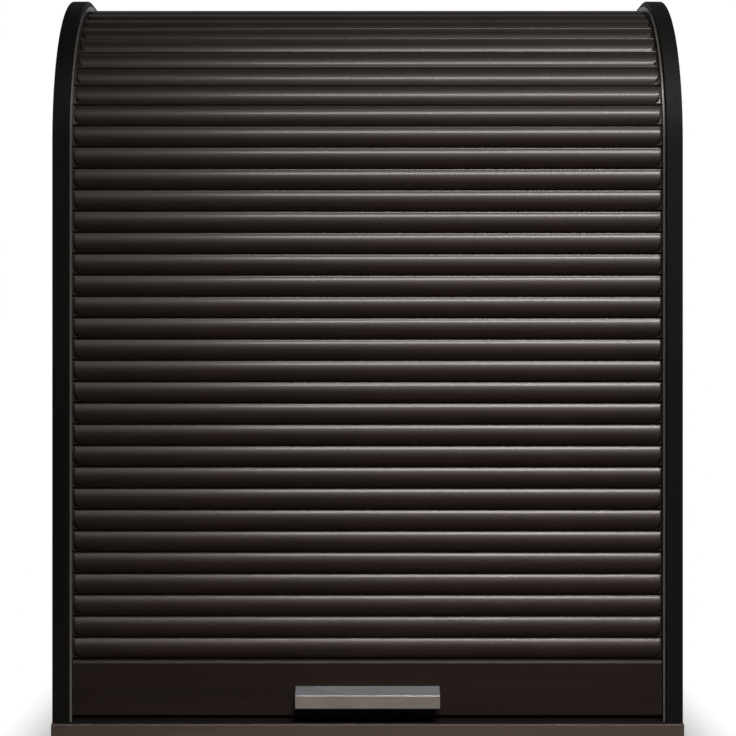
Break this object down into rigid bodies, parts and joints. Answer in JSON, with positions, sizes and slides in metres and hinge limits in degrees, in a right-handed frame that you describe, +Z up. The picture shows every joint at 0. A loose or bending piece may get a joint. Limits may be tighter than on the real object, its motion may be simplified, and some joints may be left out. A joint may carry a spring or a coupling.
{
  "type": "tambour door cabinet",
  "caption": "Free-standing cabinet with round-topped sides and a shutter of interlocking slats that lifts by a bottom rail and runs in guides over the top and down the back.",
  "frame": {"origin": "centre of the base board's underside", "axes": "+Z up, the door faces -Y, +X to the right as seen from the front"},
  "size_m": [0.6, 0.3584, 0.7321],
  "materials": {
    "side_laminate": "black-brown satin laminate",
    "base_laminate": "dark brown satin laminate",
    "inner_laminate": "dark brown matt laminate",
    "back_board": "dark brown matt hardboard",
    "guide_plastic": "dark brown satin plastic",
    "slat_plastic": "dark brown satin extruded plastic",
    "rail_laminate": "very dark brown satin laminate",
    "seal_rubber": "black matt rubber",
    "handle_aluminium": "satin anodised aluminium",
    "fastener_steel": "zinc-plated steel",
    "dowel_beech": "plain beech"
  },
  "bodies": {
    "cabinet": {"left_side_panel": "side_laminate", "right_side_panel": "side_laminate", "base_board": "base_laminate", "ceiling_board": "inner_laminate", "shelf": "inner_laminate", "inner_back_panel": "back_board", "rear_panel": "back_board", "roof_panel": "side_laminate", "left_guide": "guide_plastic", "right_guide": "guide_plastic", "guide_end_plugs": "guide_plastic", "base_screws": "fastener_steel", "base_dowels": "dowel_beech", "cam_discs": "fastener_steel", "cam_bolts": "fastener_steel", "shelf_pins": "fastener_steel", "panel_nails": "fastener_steel"},
    "door": {"closing_rail": "rail_laminate", "rail_seal": "seal_rubber", "handle": "handle_aluminium", "handle_screws": "fastener_steel", "slat_01": "slat_plastic", "slat_02": "slat_plastic"},
    "slat_03": {"slat_03": "slat_plastic"},
    "slat_04": {"slat_04": "slat_plastic"},
    "slat_05": {"slat_05": "slat_plastic"},
    "slat_06": {"slat_06": "slat_plastic"},
    "slat_07": {"slat_07": "slat_plastic"},
    "slat_08": {"slat_08": "slat_plastic"},
    "slat_09": {"slat_09": "slat_plastic"},
    "slat_10": {"slat_10": "slat_plastic"},
    "slat_11": {"slat_11": "slat_plastic"},
    "slat_12": {"slat_12": "slat_plastic"},
    "slat_13": {"slat_13": "slat_plastic"},
    "slat_14": {"slat_14": "slat_plastic"},
    "slat_15": {"slat_15": "slat_plastic"},
    "slat_16": {"slat_16": "slat_plastic"},
    "slat_17": {"slat_17": "slat_plastic"},
    "slat_18": {"slat_18": "slat_plastic"},
    "slat_19": {"slat_19": "slat_plastic"},
    "slat_20": {"slat_20": "slat_plastic"},
    "slat_21": {"slat_21": "slat_plastic"},
    "slat_22": {"slat_22": "slat_plastic"},
    "slat_23": {"slat_23": "slat_plastic"},
    "slat_24": {"slat_24": "slat_plastic"},
    "slat_25": {"slat_25": "slat_plastic"},
    "slat_26": {"slat_26": "slat_plastic"},
    "slat_27": {"slat_27": "slat_plastic"},
    "slat_28": {"slat_28": "slat_plastic"},
    "slat_29": {"slat_29": "slat_plastic"},
    "slat_30": {"slat_30": "slat_plastic"},
    "slat_31": {"slat_31": "slat_plastic"},
    "slat_32": {"slat_32": "slat_plastic"},
    "slat_33": {"slat_33": "slat_plastic"},
    "slat_34": {"slat_34": "slat_plastic"},
    "slat_35": {"slat_35": "slat_plastic"},
    "slat_36": {"slat_36": "slat_plastic"},
    "slat_37": {"slat_37": "slat_plastic"},
    "slat_38": {"slat_38": "slat_plastic"}
  },
  "joints": [
    {"name": "door_lift", "type": "slide", "parent": "cabinet", "child": "door", "axis": [0, 0, 1], "range_m": [0, 0.4488], "deforming": ["slat_03", "slat_04", "slat_05", "slat_06", "slat_07", "slat_08", "slat_09", "slat_10", "slat_11", "slat_12", "slat_13", "slat_14", "slat_15", "slat_16", "slat_17", "slat_18", "slat_19", "slat_20", "slat_21", "slat_22", "slat_23", "slat_24", "slat_25", "slat_26", "slat_27", "slat_28", "slat_29", "slat_30", "slat_31", "slat_32", "slat_33", "slat_34", "slat_35", "slat_36", "slat_37", "slat_38"]},
    {"name": "slat_03_turn", "type": "hinge", "parent": "cabinet", "child": "slat_03", "pos_m": [0, 6.39544, 0.3447], "axis": [-1, 0, 0], "range_deg": [0, 3.92]},
    {"name": "slat_04_turn", "type": "hinge", "parent": "cabinet", "child": "slat_04", "pos_m": [0, 2.02004, 0.3583], "axis": [-1, 0, 0], "range_deg": [0, 11.77]},
    {"name": "slat_05_turn", "type": "hinge", "parent": "cabinet", "child": "slat_05", "pos_m": [0, 1.14168, 0.36919], "axis": [-1, 0, 0], "range_deg": [0, 19.61]},
    {"name": "slat_06_turn", "type": "hinge", "parent": "cabinet", "child": "slat_06", "pos_m": [0, 0.76328, 0.37968], "axis": [-1, 0, 0], "range_deg": [0, 27.46]},
    {"name": "slat_07_turn", "type": "hinge", "parent": "cabinet", "child": "slat_07", "pos_m": [0, 0.55184, 0.39005], "axis": [-1, 0, 0], "range_deg": [0, 35.3]},
    {"name": "slat_08_turn", "type": "hinge", "parent": "cabinet", "child": "slat_08", "pos_m": [0, 0.41651, 0.40035], "axis": [-1, 0, 0], "range_deg": [0, 43.15]},
    {"name": "slat_09_turn", "type": "hinge", "parent": "cabinet", "child": "slat_09", "pos_m": [0, 0.32238, 0.41063], "axis": [-1, 0, 0], "range_deg": [0, 50.99]},
    {"name": "slat_10_turn", "type": "hinge", "parent": "cabinet", "child": "slat_10", "pos_m": [0, 0.25313, 0.42089], "axis": [-1, 0, 0], "range_deg": [0, 58.84]},
    {"name": "slat_11_turn", "type": "hinge", "parent": "cabinet", "child": "slat_11", "pos_m": [0, 0.20015, 0.43113], "axis": [-1, 0, 0], "range_deg": [0, 66.68]},
    {"name": "slat_12_turn", "type": "hinge", "parent": "cabinet", "child": "slat_12", "pos_m": [0, 0.15843, 0.44137], "axis": [-1, 0, 0], "range_deg": [0, 74.52]},
    {"name": "slat_13_turn", "type": "hinge", "parent": "cabinet", "child": "slat_13", "pos_m": [0, 0.1249, 0.4516], "axis": [-1, 0, 0], "range_deg": [0, 82.37]},
    {"name": "slat_14_turn", "type": "hinge", "parent": "cabinet", "child": "slat_14", "pos_m": [0, 0.1011, 0.46049], "axis": [-1, 0, 0], "range_deg": [0, 89.12]},
    {"name": "slat_15_turn", "type": "hinge", "parent": "cabinet", "child": "slat_15", "pos_m": [0, 0.09838, 0.46172], "axis": [-1, 0, 0], "range_deg": [0, 90]},
    {"name": "slat_16_turn", "type": "hinge", "parent": "cabinet", "child": "slat_16", "pos_m": [0, 0.09838, 0.46172], "axis": [-1, 0, 0], "range_deg": [0, 90]},
    {"name": "slat_17_turn", "type": "hinge", "parent": "cabinet", "child": "slat_17", "pos_m": [0, 0.09838, 0.46172], "axis": [-1, 0, 0], "range_deg": [0, 90]},
    {"name": "slat_18_turn", "type": "hinge", "parent": "cabinet", "child": "slat_18", "pos_m": [0, 0.09838, 0.46172], "axis": [-1, 0, 0], "range_deg": [0, 90]},
    {"name": "slat_19_turn", "type": "hinge", "parent": "cabinet", "child": "slat_19", "pos_m": [0, 0.09838, 0.46172], "axis": [-1, 0, 0], "range_deg": [0, 90]},
    {"name": "slat_20_turn", "type": "hinge", "parent": "cabinet", "child": "slat_20", "pos_m": [0, 0.07911, 0.48181], "axis": [-1, 0, 0], "range_deg": [0, 99.5]},
    {"name": "slat_21_turn", "type": "hinge", "parent": "cabinet", "child": "slat_21", "pos_m": [0, 0.04984, 0.51811], "axis": [-1, 0, 0], "range_deg": [0, 118.98]},
    {"name": "slat_22_turn", "type": "hinge", "parent": "cabinet", "child": "slat_22", "pos_m": [0, 0.02912, 0.54961], "axis": [-1, 0, 0], "range_deg": [0, 138.47]},
    {"name": "slat_23_turn", "type": "hinge", "parent": "cabinet", "child": "slat_23", "pos_m": [0, 0.01423, 0.57851], "axis": [-1, 0, 0], "range_deg": [0, 157.94]},
    {"name": "slat_24_turn", "type": "hinge", "parent": "cabinet", "child": "slat_24", "pos_m": [0, 0.00438, 0.60435], "axis": [-1, 0, 0], "range_deg": [0, 176.11]},
    {"name": "slat_25_turn", "type": "hinge", "parent": "cabinet", "child": "slat_25", "pos_m": [0, 0.0044, 0.60434], "axis": [-1, 0, 0], "range_deg": [0, 176.08]},
    {"name": "slat_26_turn", "type": "hinge", "parent": "cabinet", "child": "slat_26", "pos_m": [0, 0.0058, 0.5933], "axis": [-1, 0, 0], "range_deg": [0, 168.23]},
    {"name": "slat_27_turn", "type": "hinge", "parent": "cabinet", "child": "slat_27", "pos_m": [0, 0.00581, 0.58225], "axis": [-1, 0, 0], "range_deg": [0, 160.39]},
    {"name": "slat_28_turn", "type": "hinge", "parent": "cabinet", "child": "slat_28", "pos_m": [0, 0.00441, 0.57118], "axis": [-1, 0, 0], "range_deg": [0, 152.54]},
    {"name": "slat_29_turn", "type": "hinge", "parent": "cabinet", "child": "slat_29", "pos_m": [0, 0.00154, 0.56008], "axis": [-1, 0, 0], "range_deg": [0, 144.7]},
    {"name": "slat_30_turn", "type": "hinge", "parent": "cabinet", "child": "slat_30", "pos_m": [0, -0.00289, 0.54894], "axis": [-1, 0, 0], "range_deg": [0, 136.86]},
    {"name": "slat_31_turn", "type": "hinge", "parent": "cabinet", "child": "slat_31", "pos_m": [0, -0.00901, 0.53775], "axis": [-1, 0, 0], "range_deg": [0, 129.01]},
    {"name": "slat_32_turn", "type": "hinge", "parent": "cabinet", "child": "slat_32", "pos_m": [0, -0.01698, 0.52649], "axis": [-1, 0, 0], "range_deg": [0, 121.17]},
    {"name": "slat_33_turn", "type": "hinge", "parent": "cabinet", "child": "slat_33", "pos_m": [0, -0.02705, 0.51514], "axis": [-1, 0, 0], "range_deg": [0, 113.32]},
    {"name": "slat_34_turn", "type": "hinge", "parent": "cabinet", "child": "slat_34", "pos_m": [0, -0.03954, 0.50369], "axis": [-1, 0, 0], "range_deg": [0, 105.48]},
    {"name": "slat_35_turn", "type": "hinge", "parent": "cabinet", "child": "slat_35", "pos_m": [0, -0.05488, 0.4921], "axis": [-1, 0, 0], "range_deg": [0, 97.63]},
    {"name": "slat_36_turn", "type": "hinge", "parent": "cabinet", "child": "slat_36", "pos_m": [0, -0.0709, 0.48206], "axis": [-1, 0, 0], "range_deg": [0, 90.88]},
    {"name": "slat_37_turn", "type": "hinge", "parent": "cabinet", "child": "slat_37", "pos_m": [0, -0.07328, 0.48082], "axis": [-1, 0, 0], "range_deg": [0, 90]},
    {"name": "slat_38_turn", "type": "hinge", "parent": "cabinet", "child": "slat_38", "pos_m": [0, -0.07328, 0.48082], "axis": [-1, 0, 0], "range_deg": [0, 90]}
  ],
  "couplings": [
    {"joint": "slat_03_turn", "follows": "door_lift", "rad_per_m": 0.15253},
    {"joint": "slat_04_turn", "follows": "door_lift", "rad_per_m": 0.4576},
    {"joint": "slat_05_turn", "follows": "door_lift", "rad_per_m": 0.76266},
    {"joint": "slat_06_turn", "follows": "door_lift", "rad_per_m": 1.0677},
    {"joint": "slat_07_turn", "follows": "door_lift", "rad_per_m": 1.3728},
    {"joint": "slat_08_turn", "follows": "door_lift", "rad_per_m": 1.6779},
    {"joint": "slat_09_turn", "follows": "door_lift", "rad_per_m": 1.9829},
    {"joint": "slat_10_turn", "follows": "door_lift", "rad_per_m": 2.288},
    {"joint": "slat_11_turn", "follows": "door_lift", "rad_per_m": 2.593},
    {"joint": "slat_12_turn", "follows": "door_lift", "rad_per_m": 2.8981},
    {"joint": "slat_13_turn", "follows": "door_lift", "rad_per_m": 3.2032},
    {"joint": "slat_14_turn", "follows": "door_lift", "rad_per_m": 3.4659},
    {"joint": "slat_15_turn", "follows": "door_lift", "rad_per_m": 3.5},
    {"joint": "slat_16_turn", "follows": "door_lift", "rad_per_m": 3.5},
    {"joint": "slat_17_turn", "follows": "door_lift", "rad_per_m": 3.5},
    {"joint": "slat_18_turn", "follows": "door_lift", "rad_per_m": 3.5},
    {"joint": "slat_19_turn", "follows": "door_lift", "rad_per_m": 3.5},
    {"joint": "slat_20_turn", "follows": "door_lift", "rad_per_m": 3.8696},
    {"joint": "slat_21_turn", "follows": "door_lift", "rad_per_m": 4.6271},
    {"joint": "slat_22_turn", "follows": "door_lift", "rad_per_m": 5.3847},
    {"joint": "slat_23_turn", "follows": "door_lift", "rad_per_m": 6.1423},
    {"joint": "slat_24_turn", "follows": "door_lift", "rad_per_m": 6.8487},
    {"joint": "slat_25_turn", "follows": "door_lift", "rad_per_m": 6.8475},
    {"joint": "slat_26_turn", "follows": "door_lift", "rad_per_m": 6.5424},
    {"joint": "slat_27_turn", "follows": "door_lift", "rad_per_m": 6.2373},
    {"joint": "slat_28_turn", "follows": "door_lift", "rad_per_m": 5.9323},
    {"joint": "slat_29_turn", "follows": "door_lift", "rad_per_m": 5.6272},
    {"joint": "slat_30_turn", "follows": "door_lift", "rad_per_m": 5.3221},
    {"joint": "slat_31_turn", "follows": "door_lift", "rad_per_m": 5.0171},
    {"joint": "slat_32_turn", "follows": "door_lift", "rad_per_m": 4.712},
    {"joint": "slat_33_turn", "follows": "door_lift", "rad_per_m": 4.4069},
    {"joint": "slat_34_turn", "follows": "door_lift", "rad_per_m": 4.1019},
    {"joint": "slat_35_turn", "follows": "door_lift", "rad_per_m": 3.7968},
    {"joint": "slat_36_turn", "follows": "door_lift", "rad_per_m": 3.5341},
    {"joint": "slat_37_turn", "follows": "door_lift", "rad_per_m": 3.5},
    {"joint": "slat_38_turn", "follows": "door_lift", "rad_per_m": 3.5}
  ]
}
